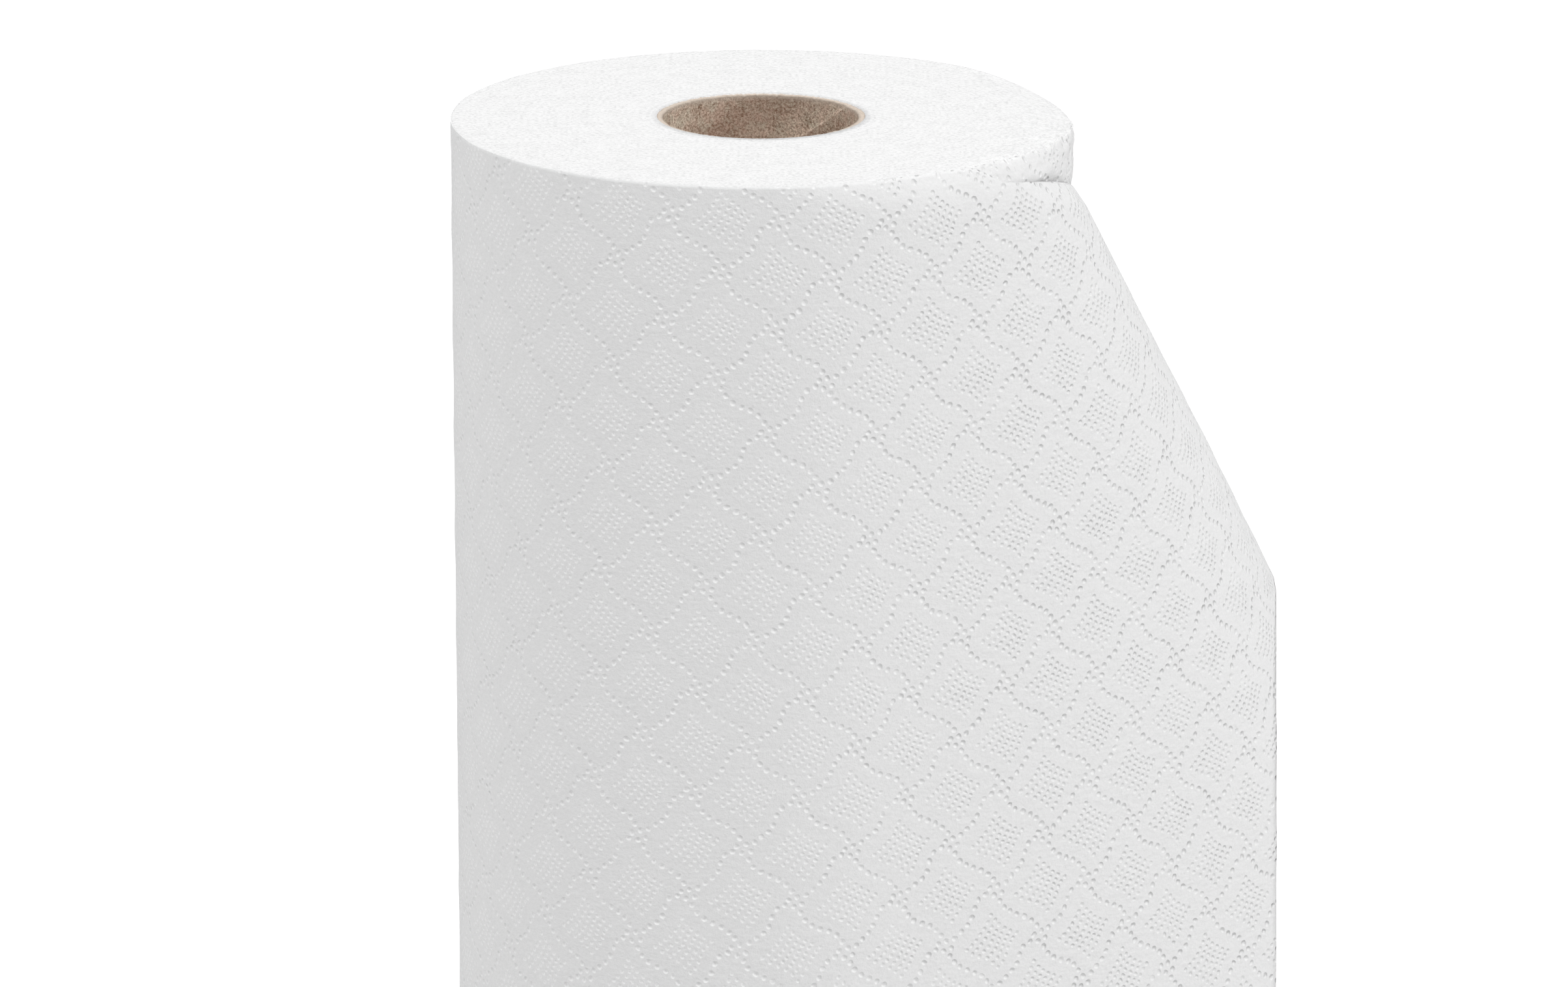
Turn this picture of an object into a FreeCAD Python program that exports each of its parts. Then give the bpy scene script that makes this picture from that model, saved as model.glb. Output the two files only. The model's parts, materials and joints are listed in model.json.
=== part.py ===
# Exam table paper roll: an embossed paper web wound on a cardboard core tube, standing on its end,
# with the tail of its outermost turn sprung loose.
# Millimetres, +Z up. The origin is the centre of the bore, at the end that the roll stands on.
import FreeCAD
import Part
import Sketcher
import math
import os

V = FreeCAD.Vector
doc = FreeCAD.newDocument("exam_paper_roll")

# Driving dimensions, one row each: alias, value
sizes = [
    ("roll_diameter", 130.0),    # outside of the wound turns
    ("roll_width", 500.0),       # width of the web, which is the height of the standing roll
    ("core_diameter", 44.0),     # outside of the core tube
    ("core_wall", 1.4),
    ("core_fit", 0.1),           # radial gap between the tube and the innermost turn
    ("web_thickness", 0.6),      # two embossed plies, at their bulk
    ("web_bite", 0.5),           # how deep the loose turn starts inside the winding
    ("leave_angle", 22.15),      # where the loose turn leaves the winding, round from -Y towards +X
    ("apex_height", 77.8),       # from the top of the roll up to the apex of the flare
    ("front_radius", 88.2),      # the flare's bends, measured level with the top of the roll
    ("front_sweep", 21.3),
    ("side_radius", 27.3),
    ("side_sweep", 51.0),
    ("back_radius", 100.0),
    ("back_sweep", 30.0),
    ("top_fall", 13.0),          # slope of the loose turn's top edge, in degrees
    ("tail_stand", 45.0),        # from the wound turns sideways to the cut end of the tail
    ("tail_back", 32.0),         # from the roll's axis back to the cut end of the tail
]

sheet = doc.addObject("Spreadsheet::Sheet", "Sizes")
size = {}
for row, (alias, value) in enumerate(sizes, start=1):
    sheet.set(f"A{row}", alias)
    sheet.set(f"B{row}", str(value))
    sheet.setAlias(f"B{row}", alias)
    size[alias] = value
doc.recompute()


def origin_plane(body, role):
    return next(f for f in body.Origin.OriginFeatures if f.Role == role)


def new_sketch(body, role, name):
    sketch = body.newObject("Sketcher::SketchObject", name)
    sketch.AttachmentSupport = (origin_plane(body, role), [""])
    sketch.MapMode = "FlatFace"
    return sketch


def bind(sketch, constraint, expression):
    """Add a constraint and drive its value from the sheet."""
    index = sketch.addConstraint(constraint)
    sketch.renameConstraint(index, f"size_{index}")
    sketch.setExpression(f"Constraints.size_{index}", expression)


def add_ring(sketch, outer_radius, outer_expression, inner_radius, inner_expression):
    """Two circles about the sketch's origin."""
    for radius, expression in ((outer_radius, outer_expression), (inner_radius, inner_expression)):
        circle = sketch.addGeometry(Part.Circle(V(0, 0, 0), V(0, 0, 1), radius), False)
        sketch.addConstraint(Sketcher.Constraint("Coincident", circle, 3, -1, 1))
        bind(sketch, Sketcher.Constraint("Radius", circle, radius), expression)


def add_polygon(sketch, corners):
    """A closed outline. Each corner is (x, x_expression, y, y_expression)."""
    count = len(corners)
    for n in range(count):
        start = corners[n]
        end = corners[(n + 1) % count]
        sketch.addGeometry(Part.LineSegment(V(start[0], start[2], 0), V(end[0], end[2], 0)), False)
    for n in range(count):
        sketch.addConstraint(Sketcher.Constraint("Coincident", n, 2, (n + 1) % count, 1))
    for n, (x, x_expression, y, y_expression) in enumerate(corners):
        bind(sketch, Sketcher.Constraint("DistanceX", -1, 1, n, 1, x), x_expression)
        bind(sketch, Sketcher.Constraint("DistanceY", -1, 1, n, 1, y), y_expression)


# ---- core tube: spiral-wound cardboard, plain bore -------------------------------------------
core_radius = size["core_diameter"] / 2
bore_radius = core_radius - size["core_wall"]

core = doc.addObject("PartDesign::Body", "core_tube")
core.Label = "core_tube"
core_section = new_sketch(core, "XY_Plane", "core_section")
add_ring(core_section, core_radius, "Sizes.core_diameter / 2",
         bore_radius, "Sizes.core_diameter / 2 - Sizes.core_wall")
core_pad = core.newObject("PartDesign::Pad", "core_length")
core_pad.Profile = core_section
core_pad.setExpression("Length", "Sizes.roll_width")

# ---- paper web: the loose turn first, then the winding that it grows out of ---------------------
# The loose turn is a developable flare: every straight line of it runs through one apex, straight
# above the line where it leaves the winding. A level section is three arcs tangent to each other,
# so the section at the floor is the one at the top of the roll, enlarged from the apex.
leave = math.radians(size["leave_angle"])
start_radius = size["roll_diameter"] / 2 - size["web_bite"]
bends = [("front", size["front_radius"], math.radians(size["front_sweep"])),
         ("side", size["side_radius"], math.radians(size["side_sweep"])),
         ("back", size["back_radius"], math.radians(size["back_sweep"]))]
floor_scale = (size["apex_height"] + size["roll_width"]) / size["apex_height"]


def add_flare_section(sketch, scale, scale_expression):
    """The curved strip of the loose turn at one level: outer face, end, inner face, start."""
    thickness = size["web_thickness"]
    start = V(start_radius * math.sin(leave), -start_radius * math.cos(leave), 0)
    outer = []
    inner = []
    heading = leave
    point = start
    for name, radius, sweep in bends:
        centre = point + V(-math.sin(heading), math.cos(heading), 0) * (radius * scale)
        first = heading - math.pi / 2
        for faces, face_radius in ((outer, radius * scale), (inner, radius * scale - thickness)):
            circle = Part.Circle(centre, V(0, 0, 1), face_radius)
            faces.append(sketch.addGeometry(Part.ArcOfCircle(circle, first, first + sweep), False))
        bend = f"Sizes.{name}_radius * {scale_expression}"
        bind(sketch, Sketcher.Constraint("Radius", outer[-1], radius * scale), bend)
        sketch.addConstraint(Sketcher.Constraint("Coincident", outer[-1], 3, inner[-1], 3))
        heading += sweep
        point = centre + V(math.sin(heading), -math.cos(heading), 0) * (radius * scale)
    for faces in (outer, inner):
        for earlier, later in zip(faces, faces[1:]):
            sketch.addConstraint(Sketcher.Constraint("Tangent", earlier, 2, later, 1))
    for arc, (name, radius, sweep) in zip(outer, bends):
        bind(sketch, Sketcher.Constraint("Angle", arc, sweep), f"Sizes.{name}_sweep * 1 deg")
    start_inner = start + V(-math.sin(leave), math.cos(leave), 0) * thickness
    end_inner = point + V(-math.sin(heading), math.cos(heading), 0) * thickness
    start_line = sketch.addGeometry(Part.LineSegment(start_inner, start), False)
    end_line = sketch.addGeometry(Part.LineSegment(point, end_inner), False)
    sketch.addConstraint(Sketcher.Constraint("Coincident", start_line, 2, outer[0], 1))
    sketch.addConstraint(Sketcher.Constraint("Coincident", start_line, 1, inner[0], 1))
    sketch.addConstraint(Sketcher.Constraint("Coincident", end_line, 1, outer[-1], 2))
    sketch.addConstraint(Sketcher.Constraint("Coincident", end_line, 2, inner[-1], 2))
    sketch.addConstraint(Sketcher.Constraint("PointOnObject", outer[0], 3, start_line))
    sketch.addConstraint(Sketcher.Constraint("PointOnObject", outer[-1], 3, end_line))
    bind(sketch, Sketcher.Constraint("Distance", start_line, thickness), "Sizes.web_thickness")
    across = "(Sizes.roll_diameter / 2 - Sizes.web_bite) * sin(Sizes.leave_angle * 1 deg)"
    along = "-(Sizes.roll_diameter / 2 - Sizes.web_bite) * cos(Sizes.leave_angle * 1 deg)"
    bind(sketch, Sketcher.Constraint("DistanceX", -1, 1, outer[0], 1, start.x), across)
    bind(sketch, Sketcher.Constraint("DistanceY", -1, 1, outer[0], 1, start.y), along)
    turned = "Sizes.leave_angle * 1 deg - 90 deg"
    bind(sketch, Sketcher.Constraint("Angle", start_line, leave - math.pi / 2), turned)


paper = doc.addObject("PartDesign::Body", "paper_web")
paper.Label = "paper_web"

top_section = new_sketch(paper, "XY_Plane", "flare_at_top")
top_section.AttachmentOffset = FreeCAD.Placement(V(0, 0, size["roll_width"]), FreeCAD.Rotation())
top_section.setExpression("AttachmentOffset.Base.z", "Sizes.roll_width")
add_flare_section(top_section, 1.0, "1")

floor_section = new_sketch(paper, "XY_Plane", "flare_at_floor")
add_flare_section(floor_section, floor_scale,
                  "(Sizes.apex_height + Sizes.roll_width) / Sizes.apex_height")

flare = paper.newObject("PartDesign::AdditiveLoft", "loose_turn")
flare.Profile = floor_section
flare.Sections = [top_section]
flare.Ruled = True

# What the flare loses: all above its sloping top edge, and all beyond the cut end of the tail
far = 3 * size["roll_width"]
far_expression = "3 * Sizes.roll_width"
front = -start_radius * math.cos(leave)
front_expression = "-(Sizes.roll_diameter / 2 - Sizes.web_bite) * cos(Sizes.leave_angle * 1 deg)"
fall = far * math.tan(math.radians(size["top_fall"]))
back_expression = f"{front_expression} + {far_expression}"
above_expression = f"Sizes.roll_width + {far_expression}"

top_outline = new_sketch(paper, "YZ_Plane", "above_top_edge")
add_polygon(top_outline, [
    (front, front_expression, size["roll_width"], "Sizes.roll_width"),
    (front + far, back_expression, size["roll_width"] - fall,
     f"Sizes.roll_width - {far_expression} * tan(Sizes.top_fall * 1 deg)"),
    (front + far, back_expression, size["roll_width"] + far, above_expression),
    (front, front_expression, size["roll_width"] + far, above_expression),
])
top_cut = paper.newObject("PartDesign::Pocket", "top_edge")
top_cut.Profile = top_outline
top_cut.Type = "ThroughAll"
top_cut.Midplane = True

tail_x = size["roll_diameter"] / 2 + size["tail_stand"]
tail_x_expression = "Sizes.roll_diameter / 2 + Sizes.tail_stand"
tail_outline = new_sketch(paper, "XY_Plane", "beyond_tail")
add_polygon(tail_outline, [
    (tail_x, tail_x_expression, -far, f"-{far_expression}"),
    (far, far_expression, -far, f"-{far_expression}"),
    (far, far_expression, far, far_expression),
    (-far, f"-{far_expression}", far, far_expression),
    (-far, f"-{far_expression}", size["tail_back"], "Sizes.tail_back"),
    (tail_x, tail_x_expression, size["tail_back"], "Sizes.tail_back"),
])
tail_cut = paper.newObject("PartDesign::Pocket", "tail_end")
tail_cut.Profile = tail_outline
tail_cut.Type = "ThroughAll"
tail_cut.Reversed = True

winding_section = new_sketch(paper, "XY_Plane", "winding_section")
add_ring(winding_section, size["roll_diameter"] / 2, "Sizes.roll_diameter / 2",
         core_radius + size["core_fit"], "Sizes.core_diameter / 2 + Sizes.core_fit")
winding = paper.newObject("PartDesign::Pad", "wound_turns")
winding.Profile = winding_section
winding.setExpression("Length", "Sizes.roll_width")

# ---- check, then write --------------------------------------------------------------------------
doc.recompute()
for obj in doc.Objects:
    if "Invalid" in obj.State or "Error" in obj.State:
        raise RuntimeError(f"{obj.Name} failed: {obj.State}")
for earlier, cut in ((flare, top_cut), (top_cut, tail_cut)):
    if not cut.Shape.Volume < earlier.Shape.Volume:
        raise RuntimeError(f"{cut.Name} cuts nothing")

os.makedirs("parts", exist_ok=True)
for body in (core, paper):
    shape = body.Shape
    if shape.isNull() or not shape.isValid() or len(shape.Solids) != 1:
        raise RuntimeError(f"{body.Label} is not one valid solid")
    shape.exportStep(f"parts/{body.Label}.step")
    print(f"{body.Label}: {shape.Volume / 1000:.1f} cm3")
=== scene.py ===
import json
import math
import bpy
import bmesh
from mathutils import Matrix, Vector, noise


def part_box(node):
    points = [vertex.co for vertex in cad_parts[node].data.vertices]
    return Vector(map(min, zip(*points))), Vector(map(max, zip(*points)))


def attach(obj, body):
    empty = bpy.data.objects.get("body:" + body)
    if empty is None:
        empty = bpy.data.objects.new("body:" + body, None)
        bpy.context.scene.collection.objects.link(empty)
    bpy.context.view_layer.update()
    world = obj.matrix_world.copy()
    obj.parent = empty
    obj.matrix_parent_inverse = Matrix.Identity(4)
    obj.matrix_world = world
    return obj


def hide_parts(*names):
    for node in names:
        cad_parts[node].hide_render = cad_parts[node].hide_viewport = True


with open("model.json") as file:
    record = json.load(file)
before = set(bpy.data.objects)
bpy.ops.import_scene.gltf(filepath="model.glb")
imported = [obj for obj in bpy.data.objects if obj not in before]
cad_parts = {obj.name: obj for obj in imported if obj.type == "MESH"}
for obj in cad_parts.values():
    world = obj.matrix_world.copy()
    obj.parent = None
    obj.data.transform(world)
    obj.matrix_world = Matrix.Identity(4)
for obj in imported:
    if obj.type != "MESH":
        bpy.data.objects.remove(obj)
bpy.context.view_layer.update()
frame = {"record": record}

print("frame loaded: exam table paper roll")

# Places that come from the frame, in metres. +Z is up, -Y is the front.
webLow, webHigh = [Vector(place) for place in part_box("paper_web")]
coreHigh = Vector(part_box("core_tube")[1])
rollRadius = -webLow.x
rollWidth = webHigh.z                     # the web's width is the standing roll's height
coreRadius = coreHigh.x
boreMount = next(m for m in frame["record"]["mounts"] if m["kind"] == "bore")
boreRadius = boreMount["dims"]["r_mm"] / 1000

mm = 0.001

# In the dictionaries below, a pair whose name ends in At is a middle and half a width, as bell takes
# them, and one whose name ends in Between is where a change begins and ends.


def bell(x, middle, halfWidth):
    # 1 in the middle, easing out to 0 at half the width on either side
    t = (x - middle) / halfWidth
    return (1 - t * t) ** 2 if abs(t) < 1 else 0.0


def ease(x, first, last):
    # 0 up to first, 1 from last on, eased in between
    t = min(1.0, max(0.0, (x - first) / (last - first)))
    return t * t * (3 - 2 * t)


def fade(x, width, power=2.0):
    # 1 at zero, easing out to 0 at the given width
    return max(0.0, 1 - max(x, 0.0) / width) ** power


def fromHex(code):
    # sRGB hex to linear, with alpha
    parts = [int(code[i:i + 2], 16) / 255 for i in (1, 3, 5)]
    return [c / 12.92 if c <= 0.04045 else ((c + 0.055) / 1.055) ** 2.4 for c in parts] + [1.0]


def addNode(tree, kind, *inputs, **settings):
    # Adds one node; its kind may carry an operation after a dot. The inputs come in order, or by name in
    # one dictionary, and each is a value, a socket, or a node whose first output is linked.
    kind, dot, operation = kind.partition(".")
    node = tree.nodes.new("ShaderNode" + kind)
    if dot:
        node.operation = operation
    for name, value in settings.items():
        setattr(node, name, value)
    named = inputs[0] if inputs and isinstance(inputs[0], dict) else dict(enumerate(inputs))
    for key, value in named.items():
        if isinstance(value, bpy.types.Node):
            value = value.outputs[0]
        if isinstance(value, bpy.types.NodeSocket):
            tree.links.new(value, node.inputs[key])
        else:
            node.inputs[key].default_value = value
    return node


def newMaterial(name):
    material = bpy.data.materials.new(name)
    material.use_nodes = True
    material.node_tree.nodes.clear()
    material.cycles.use_bump_map_correction = False
    return material, material.node_tree


def finishMaterial(tree, inputs):
    # the shader and its output node, the same for every surface
    shader = addNode(tree, "BsdfPrincipled", inputs)
    addNode(tree, "OutputMaterial", {"Surface": shader})


emboss = {
    "cellAlong": 22.49 * mm,    # one cell, corner to corner along the web
    "cellAcross": 22.13 * mm,   # one cell, corner to corner across the web
    "skew": 0.0564,             # radians between the rows of cells and the web's edge
    "phaseAlong": -1.23 * mm,   # where one crossing of the lines sits, from the leaving line
    "phaseDown": 52.66 * mm,    # and from the web's top edge
    "lineDotDiameter": 1.32 * mm,
    "fillDotDiameter": 1.05 * mm,
    "lineDotDepth": 0.215 * mm,
    "fillDotDepth": 0.100 * mm,
    "dotShape": 1.35,           # 1 is a bowl with a sharp rim; more softens the rim
    "firstDot": 0.17,           # the first dot of a line, from the crossing, in cells
    "dotStep": 0.1157,          # from one dot of a line to the next
    "lastDot": 6.0,             # a line's dots are numbered from 0 to this between two crossings
    # the waves of the two sets of lines: harmonic, amplitude in cells, phase in degrees
    "fallingWave": ((1, 0.072, 164.0),),
    "risingWave": ((1, 0.060, -6.0), (2, 0.020, 96.0)),
    "crossingDots": ((0.0885, 0.0465), (0.035, -0.062)),     # in cells; and the same the other way round
    "crossingAside": 0.0145,    # the crossing's dots are centred this far along
    "wander": 0.042,            # how far dots stray, in cells
    "wanderScale": 3.0,         # how quickly that changes, per cell
    # The sides of the block of finer dots, in millimetres from the middle of its cell. A bow has its
    # middle, its bend and where it stands; a double bend its middle, length, depth and where it stands.
    "leftBow": (3.0, -0.0385, -3.05),
    "rightBends": (0.9, 2.2, -1.2, 4.25),
    "bottomBends": (0.4, 2.4, 1.2, -4.15),
    "topBow": (3.1, 0.0425, 3.25),
    "lastColumn": 5.0,          # the block's columns of dots are numbered from 0 to this
    "lastRow": 6.0,
    "tight": 1.1,               # how much of its depth the relief keeps where the web is wound tight
    "slack": 2.45,              # and where it is loosest
    "fillShare": (0.45, 0.42),  # the finer dots keep this share of that, and this much more
    "bite": (0.5, 1.45),        # the least and the most that the rollers bite
    "biteBetween": (0.32, 0.68),    # and where in the noise those are
    "biteScale": 2.4,
}
cellSide = 0.5 * math.hypot(emboss["cellAlong"], emboss["cellAcross"])


def embossPlace(along, down):
    # a place on the flat web, in lattice cells: whole numbers are the lines of dots
    x, y = along - emboss["phaseAlong"], down - emboss["phaseDown"]
    c, s = math.cos(emboss["skew"]), math.sin(emboss["skew"])
    a = (x * c + y * s) / emboss["cellAlong"]
    b = (y * c - x * s) / emboss["cellAcross"]
    return a + b, a - b


def embossHeight(tree, uvName):
    # Dotted wavy lines round a block of finer dots in each cell: their height in metres, how far into a
    # dot each place is, from 0 at its rim to 1 at its centre, and how much of its depth the relief keeps.
    uvMap = addNode(tree, "UVMap", uv_map=uvName)
    stray = addNode(tree, "TexNoise", {"Vector": uvMap, "Scale": emboss["wanderScale"], "Detail": 3.0})
    stray = stray.outputs["Color"]
    stray = addNode(tree, "VectorMath.SUBTRACT", stray, (0.5, 0.5, 0.5))
    stray = addNode(tree, "VectorMath.SCALE", {0: stray, "Scale": 2 * emboss["wander"]})
    place = addNode(tree, "SeparateXYZ", addNode(tree, "VectorMath.ADD", uvMap, stray))
    p, q = place.outputs["X"], place.outputs["Y"]
    lineRadius = 0.5 * emboss["lineDotDiameter"] / cellSide     # in cells
    fillRadius = 0.5 * emboss["fillDotDiameter"] / mm           # in millimetres

    def dimple(across, along, radius):
        # a round dent: 1 at its centre, 0 at its rim
        square = addNode(tree, "Math.MULTIPLY", along, along)
        square = addNode(tree, "Math.MULTIPLY_ADD", across, across, square)
        inside = addNode(tree, "Math.MULTIPLY_ADD", square, -1 / radius ** 2, 1.0)
        inside = addNode(tree, "Math.MAXIMUM", inside, 0.0)
        return addNode(tree, "Math.POWER", inside, emboss["dotShape"])

    def toNearest(value):
        wrapped = addNode(tree, "Math.FRACT", addNode(tree, "Math.ADD", value, 0.5))
        return addNode(tree, "Math.SUBTRACT", wrapped, 0.5)

    def dottedLine(along, across, wave):
        # dots between two crossings, on a line that waves from side to side
        t = addNode(tree, "Math.FRACT", along)
        number = addNode(tree, "Math.SUBTRACT", t, emboss["firstDot"])
        number = addNode(tree, "Math.ROUND", addNode(tree, "Math.DIVIDE", number, emboss["dotStep"]))
        number = addNode(tree, "Math.MAXIMUM", number, 0.0)
        number = addNode(tree, "Math.MINIMUM", number, emboss["lastDot"])
        dotAt = addNode(tree, "Math.MULTIPLY_ADD", number, emboss["dotStep"], emboss["firstDot"])
        offset = 0.0
        for harmonic, amplitude, phase in wave:
            turn = addNode(tree, "Math.MULTIPLY_ADD", dotAt, 2 * math.pi * harmonic, math.radians(phase))
            swing = addNode(tree, "Math.SINE", turn)
            offset = addNode(tree, "Math.MULTIPLY_ADD", swing, amplitude, offset)
        aside = addNode(tree, "Math.SUBTRACT", toNearest(across), offset)
        return dimple(aside, addNode(tree, "Math.SUBTRACT", t, dotAt), lineRadius)

    falling = dottedLine(p, q, emboss["fallingWave"])
    lines = addNode(tree, "Math.MAXIMUM", falling, dottedLine(q, p, emboss["risingWave"]))
    fromP = addNode(tree, "Math.SUBTRACT", toNearest(p), emboss["crossingAside"])
    fromQ = toNearest(q)
    for dotP, dotQ in emboss["crossingDots"]:
        for way in (1, -1):
            dp = addNode(tree, "Math.SUBTRACT", fromP, way * dotP)
            dq = addNode(tree, "Math.SUBTRACT", fromQ, way * dotQ)
            lines = addNode(tree, "Math.MAXIMUM", lines, dimple(dp, dq, lineRadius))

    # the block of finer dots, in millimetres from the middle of its cell
    side = cellSide / mm
    x = addNode(tree, "Math.MULTIPLY_ADD", addNode(tree, "Math.FRACT", p), side, -0.5 * side)
    y = addNode(tree, "Math.MULTIPLY_ADD", addNode(tree, "Math.FRACT", q), side, -0.5 * side)

    def bowed(value, middle, bend, level):
        shifted = addNode(tree, "Math.ADD", value, middle)
        square = addNode(tree, "Math.MULTIPLY", shifted, shifted)
        return addNode(tree, "Math.MULTIPLY_ADD", square, bend, level)

    def doubleBent(value, middle, length, depth, level):
        shifted = addNode(tree, "Math.DIVIDE", addNode(tree, "Math.SUBTRACT", value, middle), length)
        return addNode(tree, "Math.MULTIPLY_ADD", addNode(tree, "Math.TANH", shifted), depth, level)

    def stepBetween(first, last, count):
        return addNode(tree, "Math.DIVIDE", addNode(tree, "Math.SUBTRACT", last, first), count)

    def columnsAt(height):
        # the block's first column of dots at this height, and the step to the next
        first = bowed(height, *emboss["leftBow"])
        return first, stepBetween(first, doubleBent(height, *emboss["rightBends"]), emboss["lastColumn"])

    def rowsAt(aside):
        first = doubleBent(aside, *emboss["bottomBends"])
        return first, stepBetween(first, bowed(aside, *emboss["topBow"]), emboss["lastRow"])

    def nearestOf(value, first, step, last):
        number = addNode(tree, "Math.DIVIDE", addNode(tree, "Math.SUBTRACT", value, first), step)
        number = addNode(tree, "Math.MAXIMUM", addNode(tree, "Math.ROUND", number), 0.0)
        return addNode(tree, "Math.MINIMUM", number, last)

    firstColumn, columnStep = columnsAt(y)
    firstRow, rowStep = rowsAt(x)
    column = nearestOf(x, firstColumn, columnStep, emboss["lastColumn"])
    row = nearestOf(y, firstRow, rowStep, emboss["lastRow"])
    # that dot's own centre, found from a first guess at it
    dotX = addNode(tree, "Math.MULTIPLY_ADD", column, columnStep, firstColumn)
    firstRow, rowStep = rowsAt(dotX)
    dotY = addNode(tree, "Math.MULTIPLY_ADD", row, rowStep, firstRow)
    firstColumn, columnStep = columnsAt(dotY)
    dotX = addNode(tree, "Math.MULTIPLY_ADD", column, columnStep, firstColumn)
    fromX, fromY = addNode(tree, "Math.SUBTRACT", x, dotX), addNode(tree, "Math.SUBTRACT", y, dotY)
    fill = dimple(fromX, fromY, fillRadius)

    # the rollers bite unevenly, and winding tension has pressed the dots flatter where the web is tight,
    # the finer ones most of all
    slack = addNode(tree, "Attribute", attribute_name="slack").outputs["Fac"]
    slack = addNode(tree, "MapRange", {"Value": slack, "To Min": emboss["tight"],
                                       "To Max": emboss["slack"]})
    fillShare = addNode(tree, "Math.MULTIPLY_ADD", slack, *emboss["fillShare"])
    fill = addNode(tree, "Math.MULTIPLY", fill, fillShare)
    height = addNode(tree, "Math.MULTIPLY", lines, -emboss["lineDotDepth"])
    height = addNode(tree, "Math.MULTIPLY_ADD", fill, -emboss["fillDotDepth"], height)
    leastBite, mostBite = emboss["bite"]
    first, last = emboss["biteBetween"]
    bite = addNode(tree, "TexNoise", {"Vector": uvMap, "Scale": emboss["biteScale"], "Detail": 3.0,
                                      "Roughness": 0.75})
    bite = addNode(tree, "MapRange", {"Value": bite, "From Min": first, "From Max": last,
                                      "To Min": leastBite, "To Max": mostBite})
    height = addNode(tree, "Math.MULTIPLY", height, addNode(tree, "Math.MULTIPLY", bite, slack))
    return height, addNode(tree, "Math.MAXIMUM", lines, fill), slack


tissue = {
    "colour": "#F4F4F4",
    "fibreColour": "#ECECEC",
    "fibreBetween": (0.3, 0.7),        # where in the noise the one gives way to the other
    "rimHighlightColour": "#FBFBFB",    # a dot's rim is painted whiter: painted highlight for the light that it catches
    "hollowColour": "#F0F0F0",     # and its floor darker, for the shade that relief alone doesn't cast
    "rimHighlightBetween": (0.0, 0.4),      # how far into a dot, from 0 at its rim to 1 at its centre
    "hollowBetween": (0.45, 0.95),
    "fibreLength": 0.7 * mm,
    "fibreDepth": 0.14 * mm,
    "creepLength": 3.2 * mm,       # soft wrinkles between the dots, along the web
    "creepStretch": 2.2,           # how much longer than wide they are
    "creepDepth": 0.10 * mm,
}


def embossedTissue():
    # Two-ply creped cellulose tissue, dry embossed: a dull white with soft dents, each with a dark upper
    # rim and a light lower one, and a fine fibre grain that keeps it from looking like plastic.
    material, tree = newMaterial("embossed tissue")
    objectCoords = addNode(tree, "TexCoord").outputs["Object"]
    fibres = addNode(tree, "TexNoise", {"Vector": objectCoords, "Scale": 1 / tissue["fibreLength"],
                                        "Detail": 4.0, "Roughness": 0.75})
    stretched = addNode(tree, "VectorMath.MULTIPLY", objectCoords, (1, 1, tissue["creepStretch"]))
    wrinkles = addNode(tree, "TexNoise", {"Vector": stretched, "Scale": 1 / tissue["creepLength"],
                                          "Detail": 2.0})
    height, inDot, slack = embossHeight(tree, "emboss")
    first, last = tissue["fibreBetween"]
    spread = addNode(tree, "MapRange", {"Value": fibres, "From Min": first, "From Max": last})
    colour = addNode(tree, "Mix", {0: spread, 6: fromHex(tissue["fibreColour"]),
                                   7: fromHex(tissue["colour"])}, data_type="RGBA").outputs[2]
    # painted highlight on each dot's rim, then painted shade on its floor
    for between, own in (("rimHighlightBetween", "rimHighlightColour"), ("hollowBetween", "hollowColour")):
        first, last = tissue[between]
        share = addNode(tree, "MapRange", {"Value": inDot, "From Min": first, "From Max": last})
        colour = addNode(tree, "Mix", {0: share, 6: colour, 7: fromHex(tissue[own])},
                         data_type="RGBA").outputs[2]
    height = addNode(tree, "Math.MULTIPLY_ADD", fibres, tissue["fibreDepth"], height)
    wrinkles = addNode(tree, "Math.MULTIPLY", wrinkles, slack)
    height = addNode(tree, "Math.MULTIPLY_ADD", wrinkles, tissue["creepDepth"], height)
    relief = addNode(tree, "Bump", {"Height": height, "Strength": 1.0, "Distance": 1.0})
    finishMaterial(tree, {"Base Color": colour, "Roughness": 0.95, "Specular IOR Level": 0.15,
                          "Normal": relief})
    return material


cutEdges = {
    "darkColour": "#CDCDCD",
    "paleColour": "#EEEEEE",
    "paleBetween": (0.33, 0.54),
    "toothSize": 0.8 * mm,
    "clumpSize": 5.0 * mm,
    "ringSize": 0.9 * mm,      # the turns are too fine to show, so their rings are drawn this coarse
    "toothShare": 0.80,
    "clumpShare": 0.12,
    "ringShare": 0.08,
    "toothDepth": 0.15 * mm,
    "toothStrength": 0.5,
}


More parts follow.
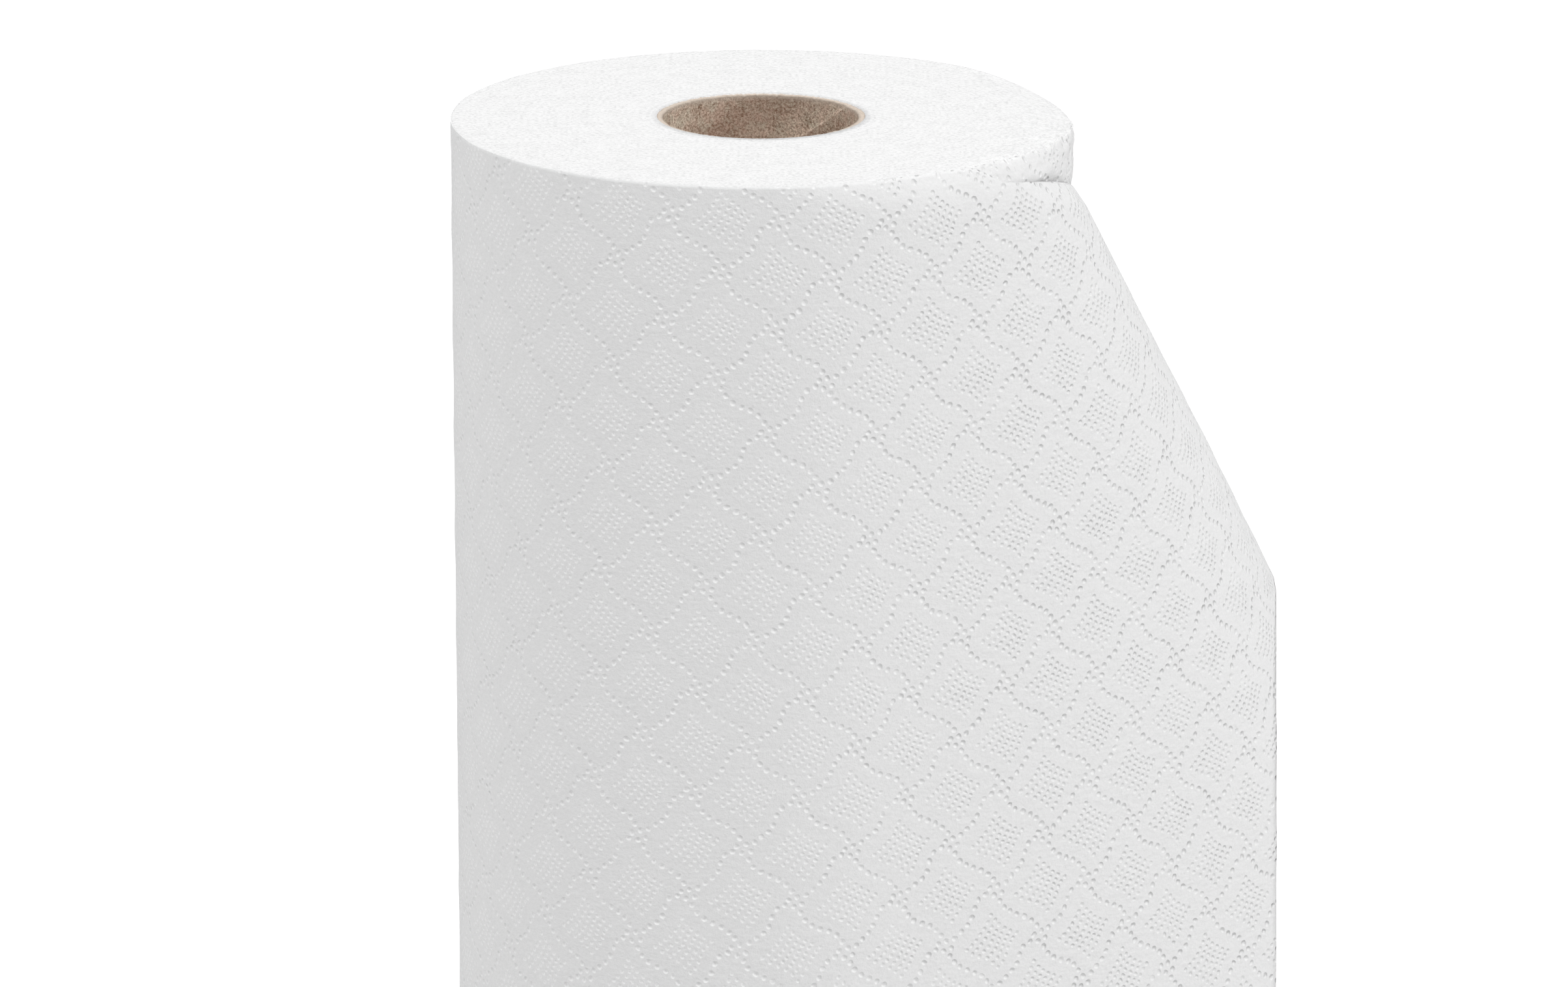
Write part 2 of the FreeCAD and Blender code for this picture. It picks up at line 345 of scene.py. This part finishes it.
def cutTissue():
    # The cut edges of the wound turns: thousands of soft fibre ends packed together, which look chalky
    # and almost even white, with fine grey flecks and the faintest rings.
    material, tree = newMaterial("cut tissue edges")
    objectCoords = addNode(tree, "TexCoord").outputs["Object"]
    tooth = addNode(tree, "TexNoise", {"Vector": objectCoords, "Scale": 1 / cutEdges["toothSize"],
                                       "Detail": 5.0, "Roughness": 0.75})
    clumps = addNode(tree, "TexNoise", {"Vector": objectCoords, "Scale": 1 / cutEdges["clumpSize"],
                                        "Detail": 2.0})
    level = addNode(tree, "VectorMath.MULTIPLY", objectCoords, (1, 1, 0))
    radius = addNode(tree, "VectorMath.LENGTH", level).outputs["Value"]
    rings = addNode(tree, "TexNoise", {"W": radius, "Scale": 1 / cutEdges["ringSize"], "Detail": 3.0},
                    noise_dimensions="1D")
    mixed = addNode(tree, "Math.MULTIPLY", tooth, cutEdges["toothShare"])
    mixed = addNode(tree, "Math.MULTIPLY_ADD", clumps, cutEdges["clumpShare"], mixed)
    mixed = addNode(tree, "Math.MULTIPLY_ADD", rings, cutEdges["ringShare"], mixed)
    first, last = cutEdges["paleBetween"]
    spread = addNode(tree, "MapRange", {"Value": mixed, "From Min": first, "From Max": last})
    colour = addNode(tree, "Mix", {0: spread, 6: fromHex(cutEdges["darkColour"]),
                                   7: fromHex(cutEdges["paleColour"])}, data_type="RGBA").outputs[2]
    relief = addNode(tree, "Bump", {"Height": mixed, "Strength": cutEdges["toothStrength"],
                                    "Distance": cutEdges["toothDepth"]})
    finishMaterial(tree, {"Base Color": colour, "Roughness": 1.0, "Specular IOR Level": 0.1,
                          "Normal": relief})
    return material


board = {
    "darkColour": "#8C7562",
    "paleBetween": (0.38, 0.62),
    "greenishColour": "#F6EDDA",
    "pinkishColour": "#FCE5D3",
    "pinkishBetween": (0.35, 0.65),
    # the brown beside the seam: the board's own redder tone, also serving as painted shade
    "seamBrownAndShadeColour": "#7A4E38",
    "rimColour": "#D2C5B8",
    "fibreSize": 0.48 * mm,
    "hueSize": 2.2 * mm,
    "patchSize": 6.0 * mm,
    "fibreShare": 0.8,
    "patchShare": 0.2,
    "fibreDepth": 0.3 * mm,
    "fibreStrength": 0.8,
}


def spiralBoard():
    # Brown recycled board, spiral wound and glued: matt, speckled with dark, pinkish and greenish fibres;
    # its cut rim is paler and furred, and beside the innermost ply's seam it is drawn browner, partly its
    # own redder tone and partly painted shade.
    material, tree = newMaterial("spiral wound board")
    objectCoords = addNode(tree, "TexCoord").outputs["Object"]
    fibres = addNode(tree, "TexNoise", {"Vector": objectCoords, "Scale": 1 / board["fibreSize"],
                                        "Detail": 3.0, "Roughness": 0.8})
    patches = addNode(tree, "TexNoise", {"Vector": objectCoords, "Scale": 1 / board["patchSize"],
                                         "Detail": 2.0})
    mixed = addNode(tree, "Math.MULTIPLY", patches, board["patchShare"])
    mixed = addNode(tree, "Math.MULTIPLY_ADD", fibres, board["fibreShare"], mixed)
    first, last = board["paleBetween"]
    spread = addNode(tree, "MapRange", {"Value": mixed, "From Min": first, "From Max": last})
    hue = addNode(tree, "TexNoise", {"Vector": objectCoords, "Scale": 1 / board["hueSize"], "Detail": 3.0})
    first, last = board["pinkishBetween"]
    hue = addNode(tree, "MapRange", {"Value": hue, "From Min": first, "From Max": last})
    pale = addNode(tree, "Mix", {0: hue, 6: fromHex(board["greenishColour"]),
                                 7: fromHex(board["pinkishColour"])}, data_type="RGBA").outputs[2]
    colour = addNode(tree, "Mix", {0: spread, 6: fromHex(board["darkColour"]), 7: pale},
                     data_type="RGBA").outputs[2]
    # drawn browner beside the seam, partly the board's own tone and partly painted shade; then the paler
    # cut rim
    for attribute, own in (("seamBrownAndShade", "seamBrownAndShadeColour"), ("cutRim", "rimColour")):
        share = addNode(tree, "Attribute", attribute_name=attribute).outputs["Fac"]
        colour = addNode(tree, "Mix", {0: share, 6: colour, 7: fromHex(board[own])},
                         data_type="RGBA").outputs[2]
    relief = addNode(tree, "Bump", {"Height": mixed, "Strength": board["fibreStrength"],
                                    "Distance": board["fibreDepth"]})
    finishMaterial(tree, {"Base Color": colour, "Roughness": 0.9, "Specular IOR Level": 0.2,
                          "Normal": relief})
    return material


def newPiece(name, bm, material, replaced):
    # the finished mesh as a piece that rides with the roll
    mesh = bpy.data.meshes.new(name)
    bm.to_mesh(mesh)
    bm.free()
    piece = bpy.data.objects.new(name, mesh)
    bpy.context.scene.collection.objects.link(piece)
    mesh.materials.append(material)
    for face in mesh.polygons:
        face.use_smooth = True
    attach(piece, "root")
    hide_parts(replaced)
    return piece


# The crushed corner of the roll is shared by the turns and the web.
corner = {
    # angles are in degrees from the front
    "leanIn": 2.8 * mm,            # at the top edge, at the worst place
    "leanInAt": (44, 46),
    "leanReach": 4.0 * mm,         # how far down that goes, and how much further where it goes furthest
    "moreReach": 6.5 * mm,
    "moreReachAt": (40, 44),
    "leanFade": 2.6,
    "leanOut": 1.9 * mm,           # below it, where the loose turn lets the wall bulge
    "leanOutAt": (63, 38),
    "held": 4.0 * mm,              # the bulge is whole down to here, and this much further at the back
    "moreHeld": 5.0 * mm,
    "moreHeldBetween": (62, 80),
    "bulgeFade": 7.5 * mm,
    "backDrop": 1.75 * mm,         # behind it the rim is pressed down instead
    "backDropAt": (106, 34),
    "backDropReach": 13 * mm,      # inwards
    "dents": 0.65 * mm,
    "dentsAt": (68, 36),
    "topDents": 0.70 * mm,
    "topDentsAt": (74, 42),
    "dentReach": 11 * mm,          # downwards and inwards
    "dentSpacing": 3.4 * mm,
    "fineDentSize": 0.45,          # finer creases among them, and their share
    "fineDentShare": 0.4,
    "dentSteepness": 2.2,
    "pressReach": 8 * mm,          # how far down the pressing is felt
    "pressFade": 1.5,
}


def roundAngle(x, y):
    # degrees from the front (-Y) towards +X
    return math.degrees(math.atan2(x, -y))


def leanIn(degrees, down):
    # how far the turns lean in at the crushed corner, easing out downwards
    most = corner["leanIn"] * bell(degrees, *corner["leanInAt"])
    reach = corner["leanReach"] + corner["moreReach"] * bell(degrees, *corner["moreReachAt"])
    return most * fade(down, reach, corner["leanFade"])


def dent(place, spacing):
    # sharp creases between soft facets, as in paper that was knocked; from 0 to about 1
    finer = noise.noise(place / (corner["fineDentSize"] * spacing) + Vector((7, 3, 1)))
    soft = noise.noise(place / spacing) + corner["fineDentShare"] * finer
    return min(1.0, corner["dentSteepness"] * abs(soft))


def wallShift(degrees, down, place):
    # how far the wound turns' side stands out from true, at the crushed corner
    held = corner["held"] + corner["moreHeld"] * ease(degrees, *corner["moreHeldBetween"])
    bulge = corner["leanOut"] * bell(degrees, *corner["leanOutAt"])
    shift = bulge * (1 - ease(down, held, held + corner["bulgeFade"]))
    shift -= leanIn(degrees, down)
    crushed = bell(degrees, *corner["dentsAt"]) * fade(down, corner["dentReach"], 1.0)
    if crushed > 0:
        shift -= corner["dents"] * crushed * (1 - dent(place, corner["dentSpacing"]))
    return shift


def topShift(degrees, inset, down, place):
    # how far the end of the turns is pressed down there
    shift = corner["backDrop"] * bell(degrees, *corner["backDropAt"])
    shift *= fade(inset, corner["backDropReach"])
    crushed = bell(degrees, *corner["topDentsAt"]) * fade(inset, corner["dentReach"], 1.0)
    if crushed > 0:
        aside = place + Vector((0.05, 0, 0))
        shift += corner["topDents"] * crushed * (1 - dent(aside, corner["dentSpacing"]))
    return -shift * fade(down, corner["pressReach"], corner["pressFade"])


turns = {
    "turnStep": 0.35 * mm,        # drop from one turn to the next as drawn; the real step is 0.24 mm
    "underWeb": 0.24 * mm,        # the drawn winding stays this far inside the outermost turn
    "around": 360,
    "faceRings": 40,
    "ringCrowding": 1.6,          # above 1, the rings lie closer together towards the rim
    "sideRows": 60,
    "rowCrowding": 2.2,           # and the rows towards the top
    "unevenness": 0.08 * mm,      # how far some turns stand proud of others at the ends
    "fineRidges": (1.1 * mm, 40),     # their size across the turns, and along them in degrees
    "coarseRidges": (4.0 * mm, 70),
    "coarseShare": 0.7,
    "evenFromCore": 1.5 * mm,     # the ends are smooth beside the core, and at the rim
    "evenRimBetween": (0.3 * mm, 3 * mm),
    "footShare": 0.3,             # of that unevenness, at the end that the roll stands on
    "crushDepth": 14 * mm,        # the crushed corner moves the wound turns this far down, and inwards
    "rimSoftness": 14 * mm,
    "coreGap": 0.1 * mm,
    "lip": 0.3 * mm,              # how far the innermost turns curl over the core's end
    "lipReach": 2.5 * mm,
    "lipRise": 0.6,               # how much of that is upwards
}
leaveAngle = 22.15                # degrees: where the loose turn leaves the winding


def turnRadius(degrees):
    # the outermost turn spirals inwards, going back from the line where it leaves
    return rollRadius - turns["turnStep"] * ((leaveAngle - degrees) % 360) / 360


def spunRing(section, steps):
    # a closed section, as (radius, height) places, spun about the roll's axis
    bm = bmesh.new()
    points = [bm.verts.new((0.0, -radius, height)) for radius, height in section]
    for first, second in zip(points, points[1:] + points[:1]):
        bm.edges.new((first, second))
    bmesh.ops.spin(bm, geom=bm.verts[:] + bm.edges[:], axis=(0, 0, 1), cent=(0, 0, 0), dvec=(0, 0, 0),
                   angle=2 * math.pi, steps=steps, use_merge=True, use_duplicate=False)
    bmesh.ops.remove_doubles(bm, verts=bm.verts[:], dist=1e-6)
    return bm


def makeTurns():
    inside, outside = coreRadius + turns["coreGap"], rollRadius - turns["underWeb"]
    rings, rows = turns["faceRings"], turns["sideRows"]
    across = [1 - (1 - i / rings) ** turns["ringCrowding"] for i in range(rings + 1)]
    across = [inside + (outside - inside) * share for share in across]
    section = [(radius, rollWidth) for radius in across]
    section += [(outside, rollWidth * (1 - (i / rows) ** turns["rowCrowding"])) for i in range(1, rows)]
    section += [(radius, 0.0) for radius in reversed(across)]
    bm = spunRing(section, turns["around"])
    for v in bm.verts:
        radius, degrees = math.hypot(v.co.x, v.co.y), roundAngle(v.co.x, v.co.y)
        out = Vector((v.co.x, v.co.y, 0)) / radius
        down, inset = rollWidth - v.co.z, outside - radius
        onTop, underneath = down < 0.01 * mm, v.co.z < 0.01 * mm
        place = v.co.copy()
        v.co += out * (turnRadius(degrees) - rollRadius) * (radius - inside) / (outside - inside)
        if down < turns["crushDepth"] and inset < turns["rimSoftness"]:
            atWall = out * rollRadius + Vector((0, 0, place.z))
            v.co += out * wallShift(degrees, down, atWall) * fade(inset, turns["rimSoftness"])
        if not underneath:
            v.co.z += topShift(degrees, inset, down, place)
        if onTop:
            upAndIn = Vector((0, 0, turns["lipRise"])) - out
            v.co += upAndIn * turns["lip"] * fade(radius - inside, turns["lipReach"])
        if onTop or underneath:
            size, span = turns["fineRidges"]
            proud = noise.noise(Vector((radius / size, degrees / span, 3.0 if onTop else 9.0)))
            size, span = turns["coarseRidges"]
            proud += turns["coarseShare"] * noise.noise(Vector((radius / size, degrees / span, 5.0)))
            drop = abs(proud) * turns["unevenness"] * ease(radius, inside, inside + turns["evenFromCore"])
            drop *= ease(inset, *turns["evenRimBetween"])
            v.co.z += turns["footShare"] * drop if underneath else -drop
    bmesh.ops.recalc_face_normals(bm, faces=bm.faces[:])
    return newPiece("wound_turns", bm, cutTissue(), "paper_web")


loose = {
    "apexHeight": 77.8 * mm,
    "bends": ((88.2 * mm, 21.3), (27.3 * mm, 51.0), (100.0 * mm, 30.0)),    # radius and sweep, at the rim
    "thickness": 0.3 * mm,
    "hiddenStart": 5.0,            # degrees past the leaving line, under the flare
    "fineTurn": 88.0,              # degrees of the turn that are meshed finely, for the crushed corner
    "fineColumns": 100,
    "plainColumns": 104,
    "looseColumns": 52,
    "topRows": 18,
    "topRowStep": 0.65 * mm,
    "rows": 178,
    "slip": 4.3 * mm,              # its top edge slips down from the rim, between these two places,
    "slipFrom": 22 * mm,
    "slipTo": 33 * mm,
    "slope": 0.112,                # and from there on goes down steadily
    "shoulder": 1.5 * mm,          # how far its top edge leans back in
    "shoulderReach": 5.5 * mm,
    "shoulderFade": 1.3,
    "shoulderLoss": 0.8,           # how much of that is lost further along
    "shoulderLossBetween": (50 * mm, 80 * mm),
    "freeBetween": (30 * mm, 42 * mm),     # where its edge stops following the crushed corner
    "pillow": 0.16 * mm,           # how far each embossed cell puffs out
    "pillowMean": 0.4,             # the share of it that leaves the sheet where it was
    "waves": 0.5 * mm,             # long soft waves in the loose part
    "waveAlong": 38 * mm,
    "waveDown": 70 * mm,
    "wavesAlongBetween": (0, 50 * mm),
    "wavesDownBetween": (10 * mm, 60 * mm),
    "offFloor": 0.2 * mm,
    # how slack the web is, from 0 to 1: on the crushed side, then growing towards the tail
    "slackBehind": 0.6,
    "slackAhead": 0.75,
    "slackBetween": (-45 * mm, 50 * mm),
    "slackAtTop": 0.3,
    "slackTopAt": (5 * mm, 70 * mm),
    "slackTopReach": 70 * mm,
    "cutAt": 110.9 * mm,           # the tail's cut end: its distance to the right, and how that changes
    "cutPerBack": 0.0562,          # towards the back
    "cutPerDown": 0.0154,          # and towards the floor
    "cutBackFrom": 28 * mm,        # both counted from here
    "cutDownFrom": 100 * mm,
    "tailBack": 32.0 * mm,
}


def edgeDrop(along):
    # the loose turn's top edge has slipped down from the rim
    drop = loose["slip"] * ease(along, loose["slipFrom"], loose["slipTo"])
    return drop + loose["slope"] * max(0.0, along - loose["slipTo"])


def slipped(along, down):
    # a depth below the web's own edge, as one below the rim
    drop = edgeDrop(along)
    return drop + down * (rollWidth - drop) / rollWidth


def flareLines():
    # The straight lines of the flare, all through its apex: for each, the angle between it and the
    # leaving line measured on the paper, its direction, and the way the paper faces.
    heading = math.radians(leaveAngle)
    point = Vector((math.sin(heading), -math.cos(heading), 0)) * rollRadius
    apex = point + Vector((0, 0, loose["apexHeight"]))
    lines = []
    opened = 0.0
    for radius, sweep in loose["bends"]:
        steps = int(sweep * 4)
        for i in range(steps + 1):
            if lines and i == 0:
                continue
            if i:
                turn = math.radians(sweep) / steps
                point = point + Vector((math.sin(heading + turn) - math.sin(heading),
                                        math.cos(heading) - math.cos(heading + turn), 0)) * radius
                heading += turn
            direction = (point - apex).normalized()
            if lines:
                opened += direction.angle(lines[-1][1])
            outward = Vector((math.cos(heading), math.sin(heading), 0)).cross(-direction).normalized()
            lines.append((opened, direction, outward))
    return apex, lines


apex, flare = flareLines()


def webPlace(along, down):
    # Where a place of the flat web lies: along it from the leaving line, and down from its top edge.
    # Gives the place and which way the paper faces there.
    if along <= 0:
        degrees = leaveAngle + math.degrees(along / rollRadius)
        outward = Vector((math.sin(math.radians(degrees)), -math.cos(math.radians(degrees)), 0))
        radius = rollRadius + turns["turnStep"] * along / (2 * math.pi * rollRadius)
        return outward * radius + Vector((0, 0, rollWidth - down)), outward
    fromApex = math.hypot(along, down + loose["apexHeight"])
    opened = math.atan2(along, down + loose["apexHeight"])
    low, high = 0, len(flare) - 1
    while high - low > 1:
        middle = (low + high) // 2
        low, high = (middle, high) if flare[middle][0] <= opened else (low, middle)
    t = (opened - flare[low][0]) / (flare[high][0] - flare[low][0])
    direction = flare[low][1].lerp(flare[high][1], t).normalized()
    outward = flare[low][2].lerp(flare[high][2], t).normalized()
    return apex + direction * fromApex + Vector((0, 0, rollWidth)), outward


def tailEnd(down):
    # how far along the web the cut lies, at this depth
    def reached(along):
        place = webPlace(along, slipped(along, down))[0]
        right = loose["cutAt"] + loose["cutPerBack"] * (place.y - loose["cutBackFrom"])
        right += loose["cutPerDown"] * (rollWidth - place.z - loose["cutDownFrom"])
        return place.x > right or place.y > loose["tailBack"]

    high = 40 * mm
    while not reached(high):
        high += 1 * mm
    low = high - 1 * mm
    for _ in range(12):
        middle = (low + high) / 2
        low, high = (low, middle) if reached(middle) else (middle, high)
    return low


def makeOuterTurn():
    bm = bmesh.new()
    fine, plain = loose["fineColumns"], loose["plainColumns"]
    columns, rows = fine + plain + loose["looseColumns"], loose["rows"]
    bmesh.ops.create_grid(bm, x_segments=columns, y_segments=rows, size=0.5)
    uvLayer = bm.loops.layers.uv.new("emboss")
    slackLayer = bm.verts.layers.float.new("slack")
    perDegree = math.radians(1) * rollRadius
    start = -(360 - loose["hiddenStart"]) * perDegree
    fineEnd = start + loose["fineTurn"] * perDegree
    topZone = loose["topRows"] * loose["topRowStep"]
    ends = {}
    flat = {}
    for v in bm.verts:
        column, row = round((v.co.x + 0.5) * columns), round((0.5 - v.co.y) * rows)
        down = row * loose["topRowStep"]
        if row > loose["topRows"]:
            down = topZone + (rollWidth - topZone) * (row - loose["topRows"]) / (rows - loose["topRows"])
        if row not in ends:
            ends[row] = tailEnd(down)
        if column <= fine:
            along = start + (fineEnd - start) * column / fine
        elif column <= fine + plain:
            along = fineEnd * (1 - (column - fine) / plain)
        else:
            along = ends[row] * (column - fine - plain) / loose["looseColumns"]
        flat[v] = (along, slipped(along, down))
    for v, (along, down) in flat.items():
        place, outward = webPlace(along, down)
        degrees = roundAngle(place.x, place.y)
        p, q = embossPlace(along, down)
        puff = (math.sin(math.pi * p) * math.sin(math.pi * q)) ** 2
        moved = place + outward * loose["pillow"] * (puff - loose["pillowMean"])
        if along < 0:
            moved.z += topShift(degrees, 0.0, down, place)
        if along < fineEnd:
            moved += outward * wallShift(degrees, down, outward * rollRadius + Vector((0, 0, place.z)))
        elif along <= 0:
            moved -= outward * leanIn(degrees, down)
        else:
            belowEdge = down - edgeDrop(along)
            ownEdge = loose["shoulder"] * fade(belowEdge, loose["shoulderReach"], loose["shoulderFade"])
            ownEdge *= 1 - loose["shoulderLoss"] * ease(along, *loose["shoulderLossBetween"])
            own = ease(along, *loose["freeBetween"])
            moved -= outward * (own * ownEdge + (1 - own) * leanIn(degrees, down))
            soft = noise.noise(Vector((along / loose["waveAlong"], down / loose["waveDown"], 1.7)))
            moved += (outward * loose["waves"] * soft * ease(along, *loose["wavesAlongBetween"])
                      * ease(down, *loose["wavesDownBetween"]))
        moved.z = max(moved.z, loose["offFloor"])
        v.co = moved
        v[slackLayer] = loose["slackBehind"]
        if along >= fineEnd:
            nearTop = bell(along, *loose["slackTopAt"]) * fade(down, loose["slackTopReach"], 1.0)
            ahead = loose["slackAhead"] * ease(along, *loose["slackBetween"])
            v[slackLayer] = ahead + loose["slackAtTop"] * nearTop
    for face in bm.faces:
        for loop in face.loops:
            loop[uvLayer].uv = embossPlace(*flat[loop.vert])
    bmesh.ops.recalc_face_normals(bm, faces=bm.faces[:])
    halfWay = Vector((0, -rollRadius, rollWidth / 2))
    front = min(bm.faces, key=lambda face: (face.calc_center_median() - halfWay).length)
    if front.normal.y > 0:
        bmesh.ops.reverse_faces(bm, faces=bm.faces[:])
    piece = newPiece("outer_turn", bm, embossedTissue(), "paper_web")
    wall = piece.modifiers.new("paper thickness", "SOLIDIFY")
    wall.thickness = loose["thickness"]
    wall.offset = -1
    tailEnd(0.3) - start
    return piece


core = {
    "around": 320,
    "rowsInside": 120,
    "rowCrowding": 1.6,         # above 1, the rows lie closer together towards the top
    "seamLead": 85.6 * mm,      # the seam of the innermost ply drops this much in one turn
    "seamAngle": 119.6,         # where it meets the top
    "seamStep": 0.38 * mm,
    # shares of one turn, going round from the seam
    "seamToneAndShadeBetween": (0.72, 0.99),
    "seamToneAndShade": 0.26,          # how much browner the innermost ply is drawn there: partly its own redder tone, partly painted shade for the lesser light on that part of the wall
    "bandToneAndShadeAt": (0.14, 0.15),
    "bandToneAndShade": 0.46,          # and in the band on the seam's other side, again partly own tone and partly painted shade
    "recess": 0.15 * mm,        # the tube ends this far inside the wound paper
    "recessReach": 20 * mm,
    "crown": 0.1 * mm,          # how much the rim's middle stands up
    "rimShade": 0.85,           # how much of the rim's own colour shows, and how far down it goes
    "rimShadeBetween": (0.1 * mm, 1.2 * mm),
    "furStep": 0.16 * mm,       # how ragged the cut rim is
    "furReach": 0.3 * mm,
    "furAside": 0.3,
    "furSizes": (40, 130),      # how quickly that changes, per radian
}


def makeCore():
    bore, outer, tall = boreRadius, coreRadius, rollWidth
    third = (outer - bore) / 3
    rows = core["rowsInside"]
    crown = tall + core["crown"]
    section = [(bore, tall * (1 - (1 - i / rows) ** core["rowCrowding"])) for i in range(rows + 1)]
    section += [(bore + third, crown), (outer - third, crown), (outer, tall), (outer, 0.0)]
    bm = spunRing(section, core["around"])
    beside = bm.verts.layers.float.new("seamBrownAndShade")
    rim = bm.verts.layers.float.new("cutRim")
    for v in bm.verts:
        radius, column = math.hypot(v.co.x, v.co.y), roundAngle(v.co.x, v.co.y)
        down = tall - v.co.z
        onBore = radius < bore + 0.1 * mm
        # the columns of the mesh run along the seam
        degrees = column + down / core["seamLead"] * 360 if onBore else column
        fromSeam = ((column - core["seamAngle"]) % 360) / 360
        out = Vector((math.sin(math.radians(degrees)), -math.cos(math.radians(degrees)), 0))
        if onBore:
            radius += core["seamStep"] * (0.5 - fromSeam)
            # browner beside the seam: own redder tone plus painted shade
            v[beside] = core["seamToneAndShade"] * ease(fromSeam, *core["seamToneAndShadeBetween"])
            # the band on the seam's other side: own warmer tone plus painted shade
            v[beside] += core["bandToneAndShade"] * bell(fromSeam, *core["bandToneAndShadeAt"])
        v[rim] = core["rimShade"] * (1 - ease(down, *core["rimShadeBetween"]))
        coarse, fine = core["furSizes"]
        ragged = noise.noise(out * coarse) + noise.noise(out * fine + Vector((0, 0, 1)))
        height = v.co.z - core["recess"] * fade(down, core["recessReach"])
        if down < core["furReach"]:
            height += core["furStep"] * ragged
            radius += core["furAside"] * core["furStep"] * ragged
        v.co = out * radius + Vector((0, 0, height))
    bmesh.ops.recalc_face_normals(bm, faces=bm.faces[:])
    return newPiece("core_board", bm, spiralBoard(), "core_tube")


makeTurns()
print("wound turns made")
makeOuterTurn()
print("outer turn made")
makeCore()
print("core made")


studio = {
    "floorSize": 30.0,
    "floorColour": "#D5D5D5",
    "floorGlow": 0.60,             # only for the camera, so the floor shows white and keeps its shadows
    "skyStrength": 0.305,
    "lampDistance": 5.0,
    "lampSize": 2.2,
    "lampHeight": 45.0,            # degrees above the horizon
    "aimHeight": 0.4,
    # degrees from the front, and watts
    "lamps": ((-85, 96.0), (-10, 30.0), (50, 101.0), (85, 46.0), (180, 34.0)),
}


def makeStudio():
    bm = bmesh.new()
    bmesh.ops.create_grid(bm, x_segments=1, y_segments=1, size=studio["floorSize"] / 2)
    mesh = bpy.data.meshes.new("floor")
    bm.to_mesh(mesh)
    bm.free()
    floor = bpy.data.objects.new("floor", mesh)
    bpy.context.scene.collection.objects.link(floor)
    material, tree = newMaterial("studio paper")
    diffuse = addNode(tree, "BsdfDiffuse", {"Color": fromHex(studio["floorColour"])})
    path = addNode(tree, "LightPath")
    seen = addNode(tree, "Math.MAXIMUM", path.outputs["Is Camera Ray"], path.outputs["Is Glossy Ray"])
    seen = addNode(tree, "Math.MAXIMUM", seen, path.outputs["Is Transmission Ray"])
    strength = addNode(tree, "Math.MULTIPLY", seen, studio["floorGlow"])
    glow = addNode(tree, "Emission", {"Strength": strength})
    both = addNode(tree, "AddShader", diffuse, glow)
    addNode(tree, "OutputMaterial", {"Surface": both})
    mesh.materials.append(material)

    world = bpy.data.worlds.new("studio")
    bpy.context.scene.world = world
    world.use_nodes = True
    tree = world.node_tree
    tree.nodes.clear()
    path = addNode(tree, "LightPath")
    seen = addNode(tree, "Math.MAXIMUM", path.outputs["Is Camera Ray"], path.outputs["Is Glossy Ray"])
    strength = addNode(tree, "MapRange", {"Value": seen, "To Min": studio["skyStrength"], "To Max": 1.0})
    sky = addNode(tree, "Background", {"Color": (1, 1, 1, 1), "Strength": strength})
    addNode(tree, "OutputWorld", {"Surface": sky})

    aim = Vector((0, 0, studio["aimHeight"]))
    high = math.radians(studio["lampHeight"])
    for degrees, watts in studio["lamps"]:
        lamp = bpy.data.lights.new("softbox", "AREA")
        lamp.energy = watts
        lamp.size = studio["lampSize"]
        softbox = bpy.data.objects.new("softbox", lamp)
        bpy.context.scene.collection.objects.link(softbox)
        turn = math.radians(degrees)
        back = Vector((math.sin(turn) * math.cos(high), -math.cos(turn) * math.cos(high), math.sin(high)))
        softbox.location = aim + back * studio["lampDistance"]
        softbox.rotation_euler = back.to_track_quat("Z", "Y").to_euler()


view = {
    "lens": 194.35,
    "sensorWidth": 36,
    "clipEnd": 100,
    "aside": 4.8 * mm,
    "back": 1.7268,
    "aboveTop": 0.392,
    "tilt": 0.2678,                # radians downwards
}


def makeCamera():
    data = bpy.data.cameras.new("camera")
    data.lens = view["lens"]
    data.sensor_width = view["sensorWidth"]
    data.clip_end = view["clipEnd"]
    camera = bpy.data.objects.new("camera", data)
    bpy.context.scene.collection.objects.link(camera)
    camera.location = (view["aside"], -view["back"], rollWidth + view["aboveTop"])
    camera.rotation_euler = (math.pi / 2 - view["tilt"], 0, 0)
    bpy.context.scene.camera = camera


makeStudio()
makeCamera()
bpy.context.scene.view_settings.view_transform = "Standard"
print("studio ready")
